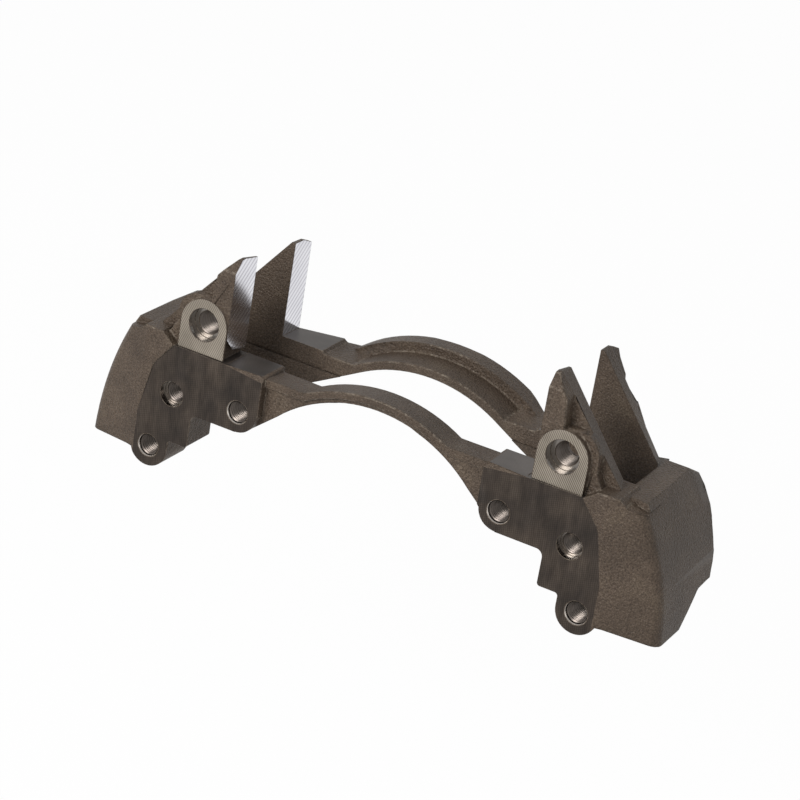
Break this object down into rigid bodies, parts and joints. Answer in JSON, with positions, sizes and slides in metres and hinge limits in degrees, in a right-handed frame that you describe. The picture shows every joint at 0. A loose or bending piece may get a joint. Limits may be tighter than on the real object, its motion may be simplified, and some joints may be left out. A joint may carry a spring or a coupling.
{
  "type": "brake caliper bracket",
  "caption": "Cast-iron carrier of an air disc brake: stands astride the rotor, holds and guides both pads, and bolts to the axle by its machined face.",
  "frame": {"origin": "on the machined mounting face, midway between the two middle mounting holes", "axes": "+X across the bracket, +Y from the mounting face outboard through the rotor slot, +Z radially outward from the rotor's axis"},
  "size_m": [0.4712, 0.1286, 0.1775],
  "materials": {
    "cast_iron": "sand-cast ductile iron, oiled, with milled mounting and pad faces"
  },
  "bodies": {
    "root": {"bracket_casting": "cast_iron"}
  },
  "joints": []
}
